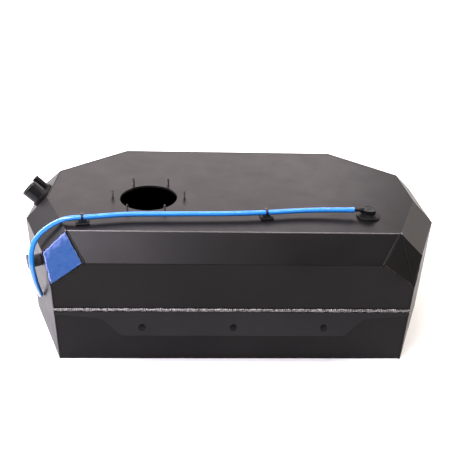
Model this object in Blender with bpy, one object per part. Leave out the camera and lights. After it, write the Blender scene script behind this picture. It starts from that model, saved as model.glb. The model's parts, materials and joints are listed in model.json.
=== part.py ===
"""Long-range liquid tank of folded, welded and powder-coated sheet steel.

An octagonal top with 45 degree bevels, eight folded side panels, two welded corner gussets and
a flat bottom make the box. On it are the pump opening with its studs, the filler and breather
pipes, a roll-over vent valve with a float, a vent hose on two tie mounts, a side outlet with a
blanking cap, and a leaning bracket along the front wall.

Units are metres. +Z is up, the front faces -Y, and the origin is the centre of the flat bottom.
"""
from math import atan2, cos, pi, radians, sin, sqrt

import bmesh
import bpy
import numpy as np
from mathutils import Matrix, Vector

# ---------------------------------------------------------------- driving dimensions
GAP = 0.0003              # between pieces that touch
STEEL = 0.002             # sheet thickness of the box
HEIGHT = 0.296            # bottom to top plate
BEVEL = 0.049             # run and drop of the bevel round the top
TOP_HALF_DEPTH = 0.2225   # top plate, front edge to centre
FRONT_HALF_WIDTH = 0.350  # top plate, half length of its front edge
MID_HALF_WIDTH = 0.423    # top plate, half width at its sides
REAR_HALF_WIDTH = 0.272   # top plate, half length of its rear edge
SIDE_FRONT_Y = -0.0665    # where the straight sides begin
SIDE_REAR_Y = 0.0815      # where they end
GUSSET_HALF_WIDTH = 0.309  # the gussets' upper inner corners, on the front bevel's lower edge
GUSSET_DROP = 0.103       # top plate to the gussets' lowest corner

PUMP_CENTRE = Vector((-0.192, -0.0625, HEIGHT))
PUMP_RADIUS = 0.065
STUD_CIRCLE_RADIUS = 0.082
STUD_COUNT = 6
STUD_RADIUS = 0.0025
STUD_LENGTH = 0.017
STUD_RING_RADIUS = 0.095
STUD_RING_THICKNESS = 0.004

BAFFLE_X = (-0.060, 0.180)
BAFFLE_HOLE_RADIUS = 0.030
BAFFLE_HOLE_ROWS = (0.0977, 0.2072)   # heights of the holes' centres
BAFFLE_LIMBER = 0.030     # cut off each lower corner, so that liquid drains past

FILLER_Y = -0.0365        # filler pipe's place along the left bevel
FILLER_SLOPE = 0.0270     # its distance down the bevel from the top plate
FILLER_RADIUS = 0.019
FILLER_BORE = 0.0170
BREATHER_Y = 0.0015
BREATHER_SLOPE = 0.0170
BREATHER_RADIUS = 0.008
BREATHER_BORE = 0.0065
FLANGE_THICKNESS = 0.006
FLANGE_LAND = 0.003       # flange round each pipe, for its fillet weld
PIPE_STAND = 0.034        # pipes' length above the flange
PIPE_LIP = 0.0009         # how far the bead at each pipe's mouth stands out
PIPE_LIP_LENGTH = 0.004
PIPE_LIP_ROUND = 0.001

OUTLET_ALONG = 0.083      # distance along the front-left wall from its front corner
OUTLET_Z = 0.210
OUTLET_RADIUS = 0.0115
OUTLET_BORE = 0.0095
OUTLET_LENGTH = 0.022
CAP_RADIUS = 0.0133
CAP_LENGTH = 0.0275
CAP_RIM_RADIUS = 0.0160
CAP_RIM_LENGTH = 0.004
CAP_RIM_ROUND = 0.001

VALVE_CENTRE = Vector((0.297, -0.1445, HEIGHT))
VALVE_FLANGE_RADIUS = 0.0255
VALVE_NECK_RADIUS = 0.0155
VALVE_BORE_RADIUS = 0.0125
VALVE_HOLE_RADIUS = 0.0160
VALVE_SEAL_THICKNESS = 0.0015
VALVE_SEAL_INSET = 0.001  # how far the seal's edge stays back from the flange's
VALVE_FLANGE_TOP = 0.0080
VALVE_CAP_RADIUS = 0.0140
VALVE_CAP_TOP = 0.0195
VALVE_CAP_ROUND = 0.0015
VALVE_LAND = 0.003        # flat of the flange that shows round the cap
VALVE_DEPTH = 0.040       # housing below the top plate
VALVE_FLOOR = 0.002       # thickness of the housing's floor
VALVE_DRAIN_RADIUS = 0.005
VENT_BORE = 0.0030
FLOAT_RADIUS = 0.0112
FLOAT_BODY = 0.0180
FLOAT_TIP = 0.0060
FLOAT_TIP_ROUND = 0.001
FLOAT_TRAVEL = 0.006
SPRING_RADIUS = 0.0070
SPRING_WIRE = 0.0005
SPRING_TURNS = 4
SPRING_POINTS_PER_TURN = 14
HOSE_RADIUS = 0.0055
BARB_RADIUS = 0.0042
BARB_TAPER = (0.0012, 0.0025)  # how much narrower its tip is, and the tip's length
BARB_STEP = (0.0007, 0.0002)   # the barb's shoulder over its stem, and the shoulder's slope
VALVE_BARB_COLLAR = 0.0052

# The vent hose's centre line, from the valve's barb to its open end against the front-left wall.
HOSE_ROUTE = [
    (0.2600, -0.1445, 0.3110), (0.1940, -0.1425, 0.3090), (0.1340, -0.1460, 0.3080),
    (0.0710, -0.1550, 0.3080), (-0.0090, -0.1620, 0.3080), (-0.1160, -0.1660, 0.3080),
    (-0.2240, -0.1700, 0.3080), (-0.2930, -0.1815, 0.3080), (-0.3210, -0.1862, 0.3080),
    (-0.3412, -0.1892, 0.3078), (-0.3590, -0.1911, 0.3050), (-0.3776, -0.1920, 0.2966),
    (-0.3965, -0.1930, 0.2842), (-0.4108, -0.1966, 0.2721), (-0.4202, -0.2031, 0.2609),
    (-0.4259, -0.2117, 0.2474), (-0.4278, -0.2195, 0.2331), (-0.4273, -0.2262, 0.2134),
    (-0.4260, -0.2257, 0.1894), (-0.4258, -0.2195, 0.1670), (-0.4268, -0.2080, 0.1450),
    (-0.4289, -0.1940, 0.1246), (-0.4317, -0.1776, 0.1047),
]
HOSE_SPACING = 0.025
HOSE_SEARCH_SPACING = 0.003
TIE_MOUNT_X = (-0.3210, 0.0710)
MOUNT_PAD = 0.028
MOUNT_PAD_THICKNESS = 0.0035
MOUNT_PAD_BEVEL = 0.0008
MOUNT_SADDLE_TOP = 0.0058
MOUNT_SADDLE_LENGTH = 0.006
MOUNT_SADDLE_WIDTH = 0.014
TIE_WIDTH = 0.0048
TIE_INNER_RADIUS = 0.0060
TIE_OUTER_RADIUS = 0.0072
TIE_HEAD = (0.0080, 0.0050, 0.0062)
TIE_HEAD_OFFSET = (0, 0.0087, 0.0025)  # its centre, from the hose's

BRACKET_TOP_Z = 0.129
BRACKET_LEAN = radians(17)
BRACKET_THICKNESS = 0.003
BRACKET_HOLE_RADIUS = 0.0078
BRACKET_HOLE_PITCH = 0.195
BRACKET_HOLE_DROP = 0.035
BRACKET_HALF_WIDTH = 0.380
BRACKET_END_DEPTH = 0.0065
BRACKET_SHOULDER = (0.2790, -0.0160)   # where the outline turns down, and how round it is there
BRACKET_SHOULDER_RADIUS = 0.022
BRACKET_FOOT = (0.2400, -0.0535)       # the lower corner, and how round it is
BRACKET_FOOT_RADIUS = 0.016
BEAD_HEIGHT = 0.0070
BEAD_DEPTH = 0.0045
BEAD_STEPS = 6
FILM_THICKNESS = 0.0003
FILM_MARGIN = 0.003
ROUND_STEPS = 32

UP = Vector((0, 0, 1))


# ---------------------------------------------------------------- materials and mesh helpers
def clear_scene():
    for obj in list(bpy.data.objects):
        bpy.data.objects.remove(obj)


def make_material(name, colour, roughness, metallic=0.0):
    material = bpy.data.materials.new(name)
    material.use_nodes = True
    shader = material.node_tree.nodes["Principled BSDF"]
    shader.inputs["Base Color"].default_value = (*colour, 1.0)
    shader.inputs["Roughness"].default_value = roughness
    shader.inputs["Metallic"].default_value = metallic
    return material


def add_object(bm, name, material, frame=Matrix.Identity(4), smooth_angle=None):
    """Turn a bmesh into a named object placed by its frame."""
    bmesh.ops.recalc_face_normals(bm, faces=bm.faces)
    mesh = bpy.data.meshes.new(name)
    bm.to_mesh(mesh)
    bm.free()
    mesh.materials.append(material)
    if smooth_angle is not None:
        mesh.shade_smooth()
        mesh.set_sharp_from_angle(angle=smooth_angle)
    obj = bpy.data.objects.new(name, mesh)
    bpy.context.collection.objects.link(obj)
    obj.matrix_world = frame
    return obj


def turned(name, profile, material, frame=Matrix.Identity(4), steps=ROUND_STEPS, closed=True):
    """Spin a profile of (radius, z) points round Z; an open profile ends on the axis."""
    bm = bmesh.new()
    verts = [bm.verts.new((radius, 0, z)) for radius, z in profile]
    edges = [bm.edges.new(pair) for pair in zip(verts, verts[1:])]
    if closed:
        edges.append(bm.edges.new((verts[-1], verts[0])))
    bmesh.ops.spin(bm, geom=verts + edges, cent=(0, 0, 0), axis=(0, 0, 1), angle=2 * pi, steps=steps)
    bmesh.ops.remove_doubles(bm, verts=bm.verts, dist=1e-6)
    return add_object(bm, name, material, frame, smooth_angle=radians(35))


def extruded(name, outline, depth, material, frame=Matrix.Identity(4)):
    """Extrude a flat outline of (x, y) points along its own Z."""
    bm = bmesh.new()
    face = bm.faces.new([bm.verts.new((x, y, 0)) for x, y in outline])
    grown = bmesh.ops.extrude_face_region(bm, geom=[face])
    moved = [item for item in grown["geom"] if isinstance(item, bmesh.types.BMVert)]
    bmesh.ops.translate(bm, verts=moved, vec=(0, 0, depth))
    return add_object(bm, name, material, frame, smooth_angle=radians(25))


def box(name, size, centre, material, frame=Matrix.Identity(4)):
    bm = bmesh.new()
    bmesh.ops.create_cube(bm, size=1.0, matrix=Matrix.Translation(centre) @ Matrix.Diagonal((*size, 1)))
    return add_object(bm, name, material, frame)


def rod(name, radius, low, high, material, frame=Matrix.Identity(4), steps=ROUND_STEPS):
    """A plain round bar along its frame's Z, from low to high."""
    profile = [(0, high), (radius, high), (radius, low), (0, low)]
    return turned(name, profile, material, frame, steps, closed=False)


def combine(target, other, operation):
    """Cut or join another solid, which stays in the file as a hidden guide."""
    modifier = target.modifiers.new(f"{operation.lower()} {other.name}", "BOOLEAN")
    modifier.operation = operation
    modifier.solver = "EXACT"
    modifier.object = other
    other.hide_render = True
    other.display_type = "WIRE"


def frame_on(origin, normal, across=UP):
    """A frame whose Z is the normal and whose X is as near to 'across' as it can be."""
    z_axis = Vector(normal).normalized()
    x_axis = (Vector(across) - z_axis * z_axis.dot(Vector(across))).normalized()
    y_axis = z_axis.cross(x_axis)
    frame = Matrix((x_axis, y_axis, z_axis)).transposed().to_4x4()
    frame.translation = Vector(origin)
    return frame


def arc(centre, radius, start, end, steps):
    """Points round a centre from the start angle to the end angle, both included."""
    angles = [start + (end - start) * step / steps for step in range(steps + 1)]
    return [(centre[0] + radius * cos(angle), centre[1] + radius * sin(angle)) for angle in angles]


def rounded_corner(before, corner, after, radius, steps=6):
    """Points of the arc that rounds one corner of an outline."""
    before, corner, after = Vector(before), Vector(corner), Vector(after)
    to_before = (before - corner).normalized()
    to_after = (after - corner).normalized()
    half_angle = to_before.angle(to_after) / 2
    centre = corner + (to_before + to_after).normalized() * radius / sin(half_angle)
    start = corner + to_before * radius / np.tan(half_angle) - centre
    end = corner + to_after * radius / np.tan(half_angle) - centre
    turn = atan2(start.cross(end), start.dot(end))
    first = atan2(start.y, start.x)
    return arc(centre, radius, first, first + turn, steps)


# ---------------------------------------------------------------- the box's outer shape
def top_outline():
    """The top plate's corners, anticlockwise from the front-left one."""
    right = [(FRONT_HALF_WIDTH, -TOP_HALF_DEPTH), (MID_HALF_WIDTH, SIDE_FRONT_Y),
             (MID_HALF_WIDTH, SIDE_REAR_Y), (REAR_HALF_WIDTH, TOP_HALF_DEPTH)]
    left = [(-x, y) for x, y in reversed(right)]
    return [left[-1]] + right + left[:-1]


def outset(outline, distance):
    """Move every edge of an anticlockwise outline outwards by a distance."""
    moved = []
    for index, point in enumerate(outline):
        before = Vector(outline[index - 1])
        here = Vector(point)
        after = Vector(outline[(index + 1) % len(outline)])
        first = (here - before).normalized()
        second = (after - here).normalized()
        normals = np.array([(first.y, -first.x), (second.y, -second.x)])
        moved.append(tuple(np.array(point) + np.linalg.solve(normals, [distance, distance])))
    return moved


TOP_OUTLINE = top_outline()
WALL_OUTLINE = outset(TOP_OUTLINE, BEVEL)
PANEL_NAMES = ("front", "front_right", "right", "rear_right", "rear", "rear_left", "left", "front_left")
GUSSET_CORNERS = {0: "front_left_gusset", 1: "front_right_gusset"}
EDGE_Z = HEIGHT - BEVEL


def wall_normal(index):
    """Outward normal of the wall that starts at an outline corner."""
    start = Vector(WALL_OUTLINE[index])
    end = Vector(WALL_OUTLINE[(index + 1) % 8])
    along = (end - start).normalized()
    return Vector((along.y, -along.x, 0))


def gusset_points(corner):
    """Where a front gusset's plane meets the front edge, the side edge and the upright corner."""
    side = -1 if corner == 0 else 1
    apex = Vector((*TOP_OUTLINE[corner], HEIGHT))
    front = Vector((side * GUSSET_HALF_WIDTH, WALL_OUTLINE[corner][1], EDGE_Z))
    tip = Vector((*WALL_OUTLINE[corner], HEIGHT - GUSSET_DROP))
    normal = (front - apex).cross(tip - apex)
    start = Vector((*WALL_OUTLINE[corner], EDGE_Z))
    neighbour = 7 if corner == 0 else 2
    along = Vector((*WALL_OUTLINE[neighbour], EDGE_Z)) - start
    flank = start + along * normal.dot(apex - start) / normal.dot(along)
    return front, flank, tip


def shell_points():
    """Every corner of the box, by name."""
    points = {}
    for index in range(8):
        points[f"top{index}"] = Vector((*TOP_OUTLINE[index], HEIGHT))
        points[f"base{index}"] = Vector((*WALL_OUTLINE[index], 0))
        points[f"edge{index}"] = Vector((*WALL_OUTLINE[index], EDGE_Z))
    for corner in GUSSET_CORNERS:
        del points[f"edge{corner}"]
        points[f"front{corner}"], points[f"flank{corner}"], points[f"tip{corner}"] = gusset_points(corner)
    return points


def edge_corner(corner, panel):
    """Name of the point where a panel's bevel ends at a corner."""
    if corner not in GUSSET_CORNERS:
        return f"edge{corner}"
    return f"front{corner}" if panel == 0 else f"flank{corner}"


def shell_faces():
    """Every face of the box as a loop of point names, seen from outside anticlockwise."""
    faces = {"top": [f"top{index}" for index in range(8)],
             "bottom": [f"base{index}" for index in reversed(range(8))]}
    for index, name in enumerate(PANEL_NAMES):
        after = (index + 1) % 8
        low, high = edge_corner(index, index), edge_corner(after, index)
        faces[f"{name}_bevel"] = [low, high, f"top{after}", f"top{index}"]
        loop = [f"base{index}", f"base{after}"]
        loop += [f"tip{after}"] if after in GUSSET_CORNERS else []
        loop += [high, low]
        loop += [f"tip{index}"] if index in GUSSET_CORNERS else []
        faces[f"{name}_wall"] = loop
    faces["front_left_gusset"] = ["flank0", "tip0", "front0", "top0"]
    faces["front_right_gusset"] = ["front1", "tip1", "flank1", "top1"]
    return faces


POINTS = shell_points()
FACES = shell_faces()


def face_normal(name):
    loop = [POINTS[point] for point in FACES[name]]
    return (loop[1] - loop[0]).cross(loop[2] - loop[1]).normalized()


NORMALS = {name: face_normal(name) for name in FACES}


def solve_shift(rows, amounts):
    """The shortest shift that moves by each amount along each row's direction."""
    return Vector(np.linalg.lstsq(np.array(rows), np.array(amounts), rcond=None)[0])


def inner_shift(point):
    """From an outer corner to the same corner of the sheet's inner side."""
    normals = [NORMALS[name] for name, loop in FACES.items() if point in loop]
    return solve_shift(normals, [-STEEL] * len(normals))


def rim_shift(point, own_faces, rim):
    """Draws a panel's corner back from its neighbours, within the panel's own faces."""
    rows = [NORMALS[name] for name in own_faces if point in FACES[name]]
    amounts = [0.0] * len(rows)
    for start, end, name in rim:
        if point in (start, end):
            along = (POINTS[end] - POINTS[start]).normalized()
            rows.append(NORMALS[name].cross(along))
            amounts.append(GAP / 2)
    return solve_shift(rows, amounts)


def rim_edges(own_faces):
    """The directed edges of a group of faces that belong to only one of them."""
    directed = [(start, end, name) for name in own_faces
                for start, end in zip(FACES[name], FACES[name][1:] + FACES[name][:1])]
    pairs = {(start, end) for start, end, _ in directed}
    return [edge for edge in directed if (edge[1], edge[0]) not in pairs]


def make_panel(name, own_faces, material):
    """One folded sheet: its outer faces, the same faces a sheet further in, and its rim."""
    rim = rim_edges(own_faces)
    bm = bmesh.new()
    outer, inner = {}, {}
    for point in sorted({point for face in own_faces for point in FACES[face]}):
        place = POINTS[point] + rim_shift(point, own_faces, rim)
        outer[point] = bm.verts.new(place)
        inner[point] = bm.verts.new(place + inner_shift(point))
    for face in own_faces:
        bm.faces.new([outer[point] for point in FACES[face]])
        bm.faces.new([inner[point] for point in reversed(FACES[face])])
    for start, end, _ in rim:
        bm.faces.new([outer[end], outer[start], inner[start], inner[end]])
    return add_object(bm, name, material)


def make_shell(coat):
    panels = {"top_plate": make_panel("top_plate", ["top"], coat),
              "bottom_plate": make_panel("bottom_plate", ["bottom"], coat)}
    for name in PANEL_NAMES:
        faces = [f"{name}_bevel", f"{name}_wall"]
        panels[f"{name}_panel"] = make_panel(f"{name}_panel", faces, coat)
    for name in GUSSET_CORNERS.values():
        make_panel(name, [name], coat)
    return panels


# ---------------------------------------------------------------- inside: baffles
def section_outline(inset):
    """The box's inside at mid width as (y, z) points, drawn in by a small distance."""
    half_depth = TOP_HALF_DEPTH + BEVEL - inset
    low, high = inset, HEIGHT - inset
    shoulder = EDGE_Z - inset * np.tan(radians(22.5))
    top_depth = half_depth - (high - shoulder)
    return [(-half_depth, low + BAFFLE_LIMBER), (-half_depth + BAFFLE_LIMBER, low),
            (half_depth - BAFFLE_LIMBER, low), (half_depth, low + BAFFLE_LIMBER),
            (half_depth, shoulder), (top_depth, high), (-top_depth, high), (-half_depth, shoulder)]


def make_baffles(coat):
    """Two slosh baffles across the box, each with four flow holes."""
    for number, x in enumerate(BAFFLE_X, start=1):
        upright = Matrix.Rotation(pi / 2, 4, "Z") @ Matrix.Rotation(pi / 2, 4, "X")
        frame = Matrix.Translation((x, 0, 0)) @ upright
        baffle = extruded(f"baffle_{number}", section_outline(STEEL + GAP), STEEL, coat, frame)
        for row_z in BAFFLE_HOLE_ROWS:
            for side in (-1, 1):
                hole_frame = frame @ Matrix.Translation((side * TOP_HALF_DEPTH / 2, row_z, 0))
                hole = rod(f"baffle_{number}_hole", BAFFLE_HOLE_RADIUS, -STEEL, 2 * STEEL, coat, hole_frame)
                combine(baffle, hole, "DIFFERENCE")


# ---------------------------------------------------------------- pump opening
def make_pump_opening(top_plate, coat, zinc):
    """The round opening, the ring that stiffens it from below, and its studs."""
    frame = Matrix.Translation(PUMP_CENTRE)
    hole = rod("pump_hole", PUMP_RADIUS, -2 * STEEL, 2 * STEEL, coat, frame, steps=72)
    combine(top_plate, hole, "DIFFERENCE")
    ring_top = -STEEL - GAP
    ring_low = ring_top - STUD_RING_THICKNESS
    profile = [(PUMP_RADIUS, ring_top), (STUD_RING_RADIUS, ring_top),
               (STUD_RING_RADIUS, ring_low), (PUMP_RADIUS, ring_low)]
    turned("stud_ring", profile, coat, frame, steps=72)
    for number in range(STUD_COUNT):
        angle = 2 * pi * number / STUD_COUNT
        place = Vector((cos(angle), sin(angle), 0)) * STUD_CIRCLE_RADIUS
        rod(f"pump_stud_{number + 1}", STUD_RADIUS, GAP, STUD_LENGTH, zinc,
            frame @ Matrix.Translation(place), steps=16)


# ---------------------------------------------------------------- filler and breather pipes
def bevel_frame(y, slope):
    """A frame on the left bevel: X along the bevel to the rear, Y down its slope, Z outwards."""
    down = slope / sqrt(2)
    origin = (-MID_HALF_WIDTH - down, y, HEIGHT - down)
    return frame_on(origin, (-1, 0, 1), across=(0, 1, 0))


def egg_outline(big, small, steps=24):
    """The outline round two circles, each given as (x, y, radius)."""
    offset = Vector((small[0] - big[0], small[1] - big[1]))
    heading = atan2(offset.y, offset.x)
    open_angle = np.arccos((big[2] - small[2]) / offset.length)
    round_big = arc(big[:2], big[2], heading + open_angle, heading + 2 * pi - open_angle, steps)
    round_small = arc(small[:2], small[2], heading - open_angle, heading + open_angle, steps)
    return round_big + round_small


def pipe_profile(radius, bore, low, high):
    """A tube with a rounded bead at its mouth, as (radius, z) points down its outside first."""
    bead = radius + PIPE_LIP
    lip_low = high - PIPE_LIP_LENGTH
    return [(bore, high), (radius, high), (bead, high - PIPE_LIP_ROUND), (bead, lip_low + PIPE_LIP_ROUND),
            (radius, lip_low), (radius, low), (bore, low)]


def make_filler(left_panel, coat, pipe_paint):
    """The flange on the left bevel with the filler and breather pipes through it."""
    filler = bevel_frame(FILLER_Y, FILLER_SLOPE)
    breather = bevel_frame(BREATHER_Y, BREATHER_SLOPE)
    small_place = filler.inverted() @ breather.translation
    outline = egg_outline((0, 0, FILLER_RADIUS + FLANGE_LAND),
                          (small_place.x, small_place.y, BREATHER_RADIUS + FLANGE_LAND))
    raised = filler @ Matrix.Translation((0, 0, GAP))
    flange = extruded("filler_flange", outline, FLANGE_THICKNESS, coat, raised)
    low = -STEEL
    high = GAP + FLANGE_THICKNESS + PIPE_STAND
    for name, frame, radius, bore in (("filler_pipe", filler, FILLER_RADIUS, FILLER_BORE),
                                      ("breather_pipe", breather, BREATHER_RADIUS, BREATHER_BORE)):
        turned(name, pipe_profile(radius, bore, low, high), pipe_paint, frame, steps=48)
        for target in (flange, left_panel):
            hole = rod(f"{name}_hole_in_{target.name}", radius + GAP, -3 * STEEL, 2 * FLANGE_THICKNESS,
                       coat, frame, steps=48)
            combine(target, hole, "DIFFERENCE")


# ---------------------------------------------------------------- front-left wall fittings
def side_wall_frame(along, z):
    """A frame on the front-left wall, a distance back from its front corner: X up, Z outwards."""
    corner = Vector((*WALL_OUTLINE[0], z))
    towards_rear = (Vector((*WALL_OUTLINE[7], z)) - corner).normalized()
    return frame_on(corner + towards_rear * along, wall_normal(7))


def make_outlet(panel, coat, rubber):
    """The outlet stub through the wall, closed by a push-on cap with a thick rim."""
    frame = side_wall_frame(OUTLET_ALONG, OUTLET_Z)
    stub = [(OUTLET_BORE, OUTLET_LENGTH), (OUTLET_RADIUS, OUTLET_LENGTH),
            (OUTLET_RADIUS, -STEEL), (OUTLET_BORE, -STEEL)]
    turned("outlet_stub", stub, coat, frame)
    hole = rod("outlet_hole", OUTLET_RADIUS + GAP, -2 * STEEL, 2 * STEEL, coat, frame)
    combine(panel, hole, "DIFFERENCE")
    inside = OUTLET_RADIUS + GAP
    floor = OUTLET_LENGTH + GAP
    rim_start = CAP_LENGTH - CAP_RIM_LENGTH
    cap = [(0, CAP_LENGTH), (CAP_RIM_RADIUS - CAP_RIM_ROUND, CAP_LENGTH),
           (CAP_RIM_RADIUS, CAP_LENGTH - CAP_RIM_ROUND),
           (CAP_RIM_RADIUS, rim_start), (CAP_RADIUS, rim_start), (CAP_RADIUS, GAP),
           (inside, GAP), (inside, floor), (0, floor)]
    turned("outlet_cap", cap, rubber, frame, closed=False)


# ---------------------------------------------------------------- roll-over vent valve
def make_valve(top_plate, plastic, rubber, float_plastic, spring_steel):
    """Housing, seal, cap with its barb, float and spring of the vent valve."""
    frame = Matrix.Translation(VALVE_CENTRE)
    hole = rod("valve_hole", VALVE_HOLE_RADIUS, -2 * STEEL, 2 * STEEL, plastic, frame, steps=48)
    combine(top_plate, hole, "DIFFERENCE")
    seal_top = GAP + VALVE_SEAL_THICKNESS
    inside = VALVE_NECK_RADIUS + GAP
    outside = VALVE_FLANGE_RADIUS - VALVE_SEAL_INSET
    seal = [(inside, seal_top), (outside, seal_top), (outside, GAP), (inside, GAP)]
    turned("valve_seal", seal, rubber, frame, steps=48)
    make_valve_housing(frame, seal_top + GAP, plastic)
    make_valve_cap(frame, plastic)
    make_float(frame, float_plastic, spring_steel)


def make_valve_housing(frame, flange_low, plastic):
    """A stepped flange over the plate, and a cage below it that the float runs in."""
    low = -VALVE_DEPTH
    floor = low + VALVE_FLOOR
    land = VALVE_CAP_RADIUS + VALVE_LAND
    step = VALVE_LAND / 3
    profile = [(VALVE_BORE_RADIUS, VALVE_FLANGE_TOP), (land, VALVE_FLANGE_TOP),
               (land + step, VALVE_FLANGE_TOP - step),
               (VALVE_FLANGE_RADIUS - 4 * step, VALVE_FLANGE_TOP - 1.5 * step),
               (VALVE_FLANGE_RADIUS - step, VALVE_FLANGE_TOP - 3 * step),
               (VALVE_FLANGE_RADIUS, VALVE_FLANGE_TOP - 4 * step), (VALVE_FLANGE_RADIUS, flange_low),
               (VALVE_NECK_RADIUS, flange_low), (VALVE_NECK_RADIUS, low),
               (VALVE_DRAIN_RADIUS, low), (VALVE_DRAIN_RADIUS, floor), (VALVE_BORE_RADIUS, floor)]
    turned("valve_housing", profile, plastic, frame, steps=48)


def barb_profile(length, base_radius, base_length):
    """A hose barb on a round base, as an open (radius, z) profile from its tip down."""
    narrower, tip_length = BARB_TAPER
    shoulder, slope = BARB_STEP
    stem = BARB_RADIUS - shoulder
    return [(0, length), (BARB_RADIUS - narrower, length), (BARB_RADIUS, length - tip_length),
            (stem, length - tip_length - slope), (stem, base_length),
            (base_radius, base_length), (base_radius, GAP), (0, GAP)]


def make_valve_cap(frame, plastic):
    """The round cap whose barb carries the vent to the hose."""
    low = VALVE_FLANGE_TOP + GAP
    profile = [(0, VALVE_CAP_TOP), (VALVE_CAP_RADIUS - VALVE_CAP_ROUND, VALVE_CAP_TOP),
               (VALVE_CAP_RADIUS, VALVE_CAP_TOP - VALVE_CAP_ROUND), (VALVE_CAP_RADIUS, low), (0, low)]
    cap = turned("valve_cap", profile, plastic, frame, steps=48, closed=False)
    hose_start = Vector(HOSE_ROUTE[0])
    barb_axis = frame_on((VALVE_CENTRE.x, VALVE_CENTRE.y, hose_start.z), (-1, 0, 0))
    reach = VALVE_CENTRE.x - hose_start.x - GAP
    profile = barb_profile(reach, VALVE_BARB_COLLAR, VALVE_CAP_RADIUS + VALVE_LAND)
    barb = turned("valve_barb", profile, plastic, barb_axis, steps=24, closed=False)
    combine(cap, barb, "UNION")
    vent = rod("vent_bore", VENT_BORE / 2, 0, 2 * reach, plastic, barb_axis, steps=16)
    combine(cap, vent, "DIFFERENCE")
    seat = rod("vent_seat", VENT_BORE / 2, 0, hose_start.z - HEIGHT + VENT_BORE / 4, plastic, frame, steps=16)
    combine(cap, seat, "DIFFERENCE")


def make_float(frame, float_plastic, spring_steel):
    """The float that shuts the vent when it rises, standing on its light spring."""
    seat = VALVE_FLANGE_TOP + GAP
    tip = seat - FLOAT_TRAVEL - GAP
    body_top = tip - FLOAT_TIP
    low = body_top - FLOAT_BODY
    profile = [(0, tip), (FLOAT_RADIUS / 4, tip - FLOAT_TIP_ROUND),
               (FLOAT_RADIUS / 2, body_top + FLOAT_TIP_ROUND),
               (FLOAT_RADIUS, body_top), (FLOAT_RADIUS, low), (0, low)]
    turned("valve_float", profile, float_plastic, frame, closed=False)
    floor = -VALVE_DEPTH + VALVE_FLOOR
    make_spring(frame, floor + GAP, low - GAP, spring_steel)


def make_spring(frame, low, high, spring_steel):
    """A helical wire spring between two heights."""
    count = SPRING_TURNS * SPRING_POINTS_PER_TURN
    rise = (high - low - 2 * SPRING_WIRE) / count
    route = []
    for step in range(count + 1):
        angle = 2 * pi * step / SPRING_POINTS_PER_TURN
        place = (SPRING_RADIUS * cos(angle), SPRING_RADIUS * sin(angle), low + SPRING_WIRE + rise * step)
        route.append(frame @ Vector(place))
    make_tube("float_spring", route, SPRING_WIRE, 2, spring_steel)


# ---------------------------------------------------------------- vent hose and its mounts
def make_tube(name, route, radius, resolution, material):
    """A round tube along a line of points."""
    curve = bpy.data.curves.new(name, "CURVE")
    curve.dimensions = "3D"
    curve.bevel_depth = radius
    curve.bevel_resolution = resolution
    curve.use_fill_caps = True
    spline = curve.splines.new("POLY")
    spline.points.add(len(route) - 1)
    for point, place in zip(spline.points, route):
        point.co = (*place, 1)
    curve.materials.append(material)
    obj = bpy.data.objects.new(name, curve)
    bpy.context.collection.objects.link(obj)
    return obj


def smooth_route(route, spacing):
    """Points at about the spacing on a smooth curve through the route's own points."""
    points = [Vector(point) for point in route]
    padded = [2 * points[0] - points[1]] + points + [2 * points[-1] - points[-2]]
    smooth = []
    for a, b, c, d in zip(padded, padded[1:], padded[2:], padded[3:]):
        steps = max(1, round((c - b).length / spacing))
        for step in range(steps):
            t = step / steps
            smooth.append(0.5 * ((2 * b) + (c - a) * t + (2 * a - 5 * b + 4 * c - d) * t ** 2
                                 + (3 * b - a - 3 * c + d) * t ** 3))
    return smooth + [points[-1]]


def hose_frame_at(x):
    """A frame on the hose's centre line where it crosses a given x: X along the hose, Z up."""
    route = smooth_route(HOSE_ROUTE, HOSE_SEARCH_SPACING)
    nearest = min(range(1, len(route) - 1), key=lambda index: abs(route[index].x - x))
    along = route[nearest - 1] - route[nearest + 1]
    heading = Vector((along.x, along.y, 0))
    return frame_on(route[nearest], UP, across=heading)


def make_tie_mount(number, x, plastic):
    """A square pad on the top plate, with a saddle for the hose and a cable tie round both."""
    on_hose = hose_frame_at(x)
    on_plate = on_hose.copy()
    on_plate.translation.z = HEIGHT
    pad_centre = (0, 0, GAP + MOUNT_PAD_THICKNESS / 2)
    mount = box(f"tie_mount_{number}", (MOUNT_PAD, MOUNT_PAD, MOUNT_PAD_THICKNESS), pad_centre,
                plastic, on_plate)
    bevel = mount.modifiers.new("edges", "BEVEL")
    bevel.width = MOUNT_PAD_BEVEL
    bevel.segments = 1
    saddle_offset = TIE_WIDTH / 2 + GAP + MOUNT_SADDLE_LENGTH / 2
    saddle_height = MOUNT_SADDLE_TOP - MOUNT_PAD_THICKNESS / 2
    for side in (-1, 1):
        centre = (side * saddle_offset, 0, MOUNT_SADDLE_TOP - saddle_height / 2)
        size = (MOUNT_SADDLE_LENGTH, MOUNT_SADDLE_WIDTH, saddle_height)
        saddle = box(f"saddle_{number}_{side + 1}", size, centre, plastic, on_plate)
        combine(mount, saddle, "UNION")
    make_tie(number, on_hose, plastic)


def make_tie(number, on_hose, plastic):
    """The closed loop of a cable tie, its head behind the hose."""
    along_hose = on_hose @ Matrix.Rotation(pi / 2, 4, "Y")
    half = TIE_WIDTH / 2
    loop = [(TIE_INNER_RADIUS, half), (TIE_OUTER_RADIUS, half),
            (TIE_OUTER_RADIUS, -half), (TIE_INNER_RADIUS, -half)]
    tie = turned(f"cable_tie_{number}", loop, plastic, along_hose, steps=24)
    head = box(f"tie_head_{number}", TIE_HEAD, TIE_HEAD_OFFSET, plastic, on_hose)
    combine(tie, head, "UNION")


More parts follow.
